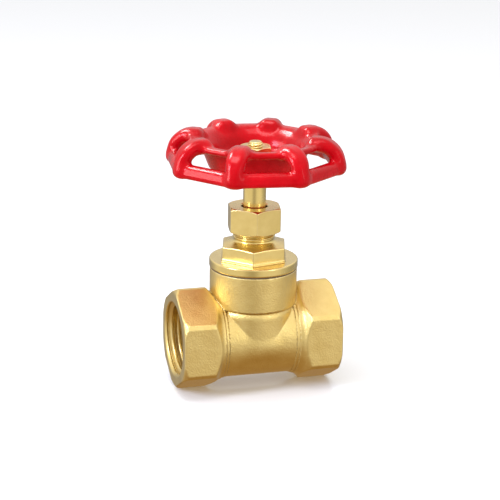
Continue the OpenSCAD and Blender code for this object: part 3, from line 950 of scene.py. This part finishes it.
FLOOR_Z = low_z("body") * MM
TARGET = Vector((STEM_AXIS[0] * MM, 0, 0.020))


def direction(azimuth, elevation):
    """Unit vector from the target to a place in the studio, with 0 in front and +90 at the right."""
    a, e = radians(azimuth), radians(elevation)
    return Vector((sin(a) * cos(e), -cos(a) * cos(e), sin(e)))


# The camera was solved from the outlines of the body and the wheel: degrees, and metres from the target
CAMERA_AZIMUTH = -16.573
CAMERA_ELEVATION = 17.472
CAMERA_ROLL = 1.048
CAMERA_DISTANCE = 0.480724


def camera():
    """Camera with its lens and its framing, looking at the target."""
    turn, roll = radians(CAMERA_AZIMUTH), radians(CAMERA_ROLL)
    back = direction(CAMERA_AZIMUTH, CAMERA_ELEVATION)
    right = Vector((cos(turn), sin(turn), 0))
    up = back.cross(right)
    side = right * cos(roll) + up * sin(roll)
    top = up * cos(roll) - right * sin(roll)
    data = bpy.data.cameras.new("camera")
    data.lens = 125.13
    data.sensor_width = 36
    data.shift_x = -0.0067
    data.shift_y = 0.0294
    obj = bpy.data.objects.new("camera", data)
    facing = Matrix((side, top, back)).transposed().to_4x4()
    obj.matrix_world = Matrix.Translation(TARGET + back * CAMERA_DISTANCE) @ facing
    bpy.context.scene.collection.objects.link(obj)
    bpy.context.scene.camera = obj


LIGHT_DISTANCE = 0.8


def softbox(name, azimuth, elevation, width, height, power, tint=(1, 1, 1)):
    """Rectangular area light that faces the valve."""
    data = bpy.data.lights.new(name, "AREA")
    data.shape = "RECTANGLE"
    data.size = width
    data.size_y = height
    data.energy = power
    data.color = tint
    obj = bpy.data.objects.new(name, data)
    away = direction(azimuth, elevation)
    obj.location = TARGET + away * LIGHT_DISTANCE
    obj.rotation_euler = away.to_track_quat("Z", "Y").to_euler()
    bpy.context.scene.collection.objects.link(obj)
    return obj


def gloss_for(light, *pieces):
    """Makes a light show only as a highlight, and only on some pieces."""
    light.visible_diffuse = False
    lit = bpy.data.collections.new(light.name + "_receivers")
    for obj in pieces:
        lit.objects.link(obj)
    light.light_linking.receiver_collection = lit


def floor():
    """Pale glossy table top. Nothing mirrors it, as if the valve were held clear of it."""
    half = 3.0
    mesh = bpy.data.meshes.new("floor")
    corners = [(-half, -half), (half, -half), (half, half), (-half, half)]
    mesh.from_pydata([(x, y, FLOOR_Z) for x, y in corners], [], [(0, 1, 2, 3)])
    obj = bpy.data.objects.new("floor", mesh)
    bpy.context.scene.collection.objects.link(obj)
    shader = Shader("pale_floor")
    shader.set(Base_Color=(0.86, 0.86, 0.87, 1), Roughness=0.09, IOR=1.45)
    mesh.materials.append(shader.material)
    obj.visible_glossy = False


# Brightness of the surroundings by azimuth in degrees, brightness overhead, and colour underneath
SURROUND = {
    -180: 0.35, -144: 0.35, -105: 1.6, -66: 1.9, -40: 0.8, -14: 0.3,
    12: 1.35, 46: 1.1, 80: 0.5, 124: 0.4, 163: 0.35,
}
OVERHEAD = 1.35
UNDERNEATH = (0.44, 0.28, 0.12, 1)


def world():
    """Surroundings: bright at the left, right of the front and overhead, dim behind, brown underneath."""
    studio = bpy.data.worlds.new("studio")
    studio.use_nodes = True
    tree = studio.node_tree

    def add(kind, *inputs, **settings):
        """New node with its inputs filled in order."""
        node = tree.nodes.new(kind)
        for key, value in settings.items():
            setattr(node, key, value)
        for socket, value in zip(node.inputs, inputs):
            if isinstance(value, bpy.types.NodeSocket):
                tree.links.new(value, socket)
            else:
                socket.default_value = value
        return node

    split = add("ShaderNodeSeparateXYZ", add("ShaderNodeTexCoord").outputs["Generated"])
    backwards = add("ShaderNodeMath", split.outputs["Y"], -1.0, operation="MULTIPLY")
    azimuth = add("ShaderNodeMath", split.outputs["X"], backwards.outputs[0], operation="ARCTAN2")
    turn = add("ShaderNodeMapRange", azimuth.outputs[0], -pi, pi, 0.0, 1.0)
    around = add("ShaderNodeValToRGB", turn.outputs["Result"])
    around.color_ramp.interpolation = "B_SPLINE"
    stops = around.color_ramp.elements
    stops.remove(stops[1])
    for number, (angle, bright) in enumerate(SURROUND.items()):
        stop = stops[0] if number == 0 else stops.new((angle + 180) / 360)
        stop.position = (angle + 180) / 360
        stop.color = (bright, bright, bright, 1)
    upwards = add("ShaderNodeMapRange", split.outputs["Z"], -0.2, 0.9, interpolation_type="SMOOTHSTEP")
    height = split.outputs["Z"]
    downwards = add("ShaderNodeMapRange", height, -0.25, -0.7, interpolation_type="SMOOTHSTEP")
    zenith = (OVERHEAD, OVERHEAD, OVERHEAD, 1)
    lifted = add("ShaderNodeMixRGB", upwards.outputs["Result"], around.outputs["Color"], zenith)
    shaded = add("ShaderNodeMixRGB", downwards.outputs["Result"], lifted.outputs["Color"], UNDERNEATH)
    tree.links.new(shaded.outputs["Color"], tree.nodes["Background"].inputs["Color"])
    bpy.context.scene.world = studio


camera()
floor()
world()
softbox("key", -74, 30, 0.2, 0.26, 3.2, (0.92, 1.05, 1.4))
softbox("fill", 34, 14, 0.14, 0.4, 0.7)
softbox("top", -20, 78, 0.34, 0.3, 1.6)
gloss_for(softbox("left_sheen", -84, 16, 0.4, 0.56, 9.5), handwheel)
gloss_for(softbox("top_sheen", -60, 68, 0.3, 0.3, 4), handwheel)
gloss_for(softbox("bowl_sheen", -132, 54, 0.24, 0.22, 9), handwheel)
bpy.context.scene.view_settings.view_transform = "Standard"
